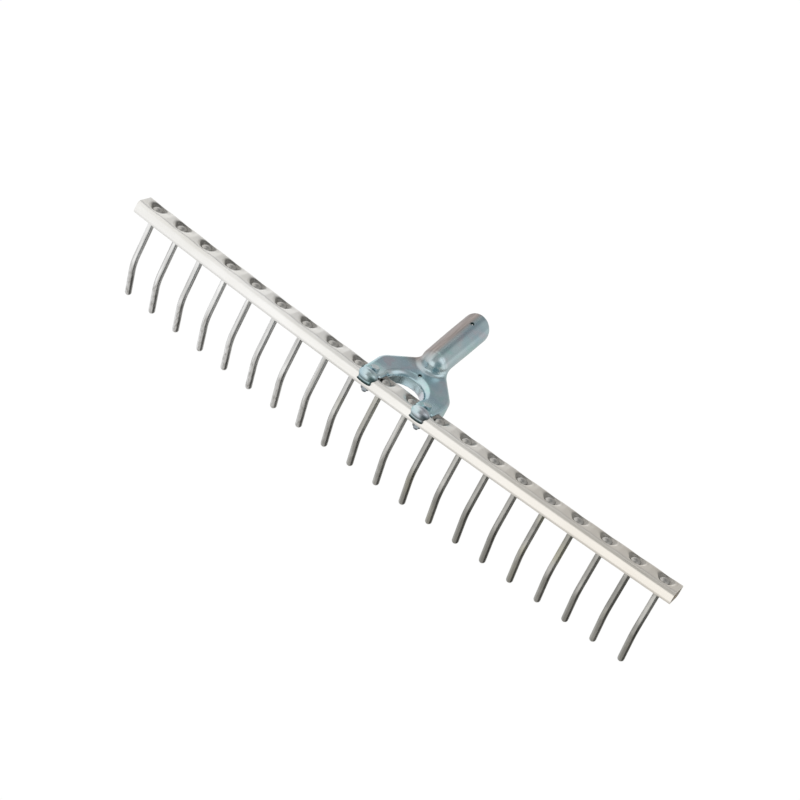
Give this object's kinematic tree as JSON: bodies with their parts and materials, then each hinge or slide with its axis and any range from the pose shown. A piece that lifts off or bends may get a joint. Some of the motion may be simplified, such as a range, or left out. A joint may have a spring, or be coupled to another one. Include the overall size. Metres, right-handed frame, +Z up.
{
  "type": "landscape rake head",
  "caption": "Wide landscape rake head: slightly bowed hollow bar, riveted round tines with bent toes, and a bolted pressed bracket with a round handle socket.",
  "frame": {"origin": "middle of the handle socket's mouth", "axes": "+X along the bar (to the right as the picture shows it), +Y from the bar towards the handle's end, +Z up, away from the tines' tips"},
  "size_m": [0.6612, 0.1408, 0.1661],
  "materials": {
    "bar_metal": "extruded mill finish, bright and slightly streaked along the bar",
    "tine_metal": "drawn rod, dull satin grey",
    "bracket_zinc": "pressed steel, bright zinc plate with a faint bluish iridescence",
    "fastener_zinc": "zinc-plated steel"
  },
  "bodies": {
    "root": {"rake_bar": "bar_metal", "handle_bracket": "bracket_zinc", "clamp_bolt_left": "fastener_zinc", "clamp_bolt_right": "fastener_zinc", "clamp_nut_left": "fastener_zinc", "clamp_nut_right": "fastener_zinc", "clamp_washer_left": "fastener_zinc", "clamp_washer_right": "fastener_zinc", "tine_01": "tine_metal", "tine_02": "tine_metal", "tine_03": "tine_metal", "tine_04": "tine_metal", "tine_05": "tine_metal", "tine_06": "tine_metal", "tine_07": "tine_metal", "tine_08": "tine_metal", "tine_09": "tine_metal", "tine_10": "tine_metal", "tine_11": "tine_metal", "tine_12": "tine_metal", "tine_13": "tine_metal", "tine_14": "tine_metal", "tine_15": "tine_metal", "tine_16": "tine_metal", "tine_17": "tine_metal", "tine_18": "tine_metal", "tine_19": "tine_metal", "tine_20": "tine_metal"}
  },
  "joints": []
}
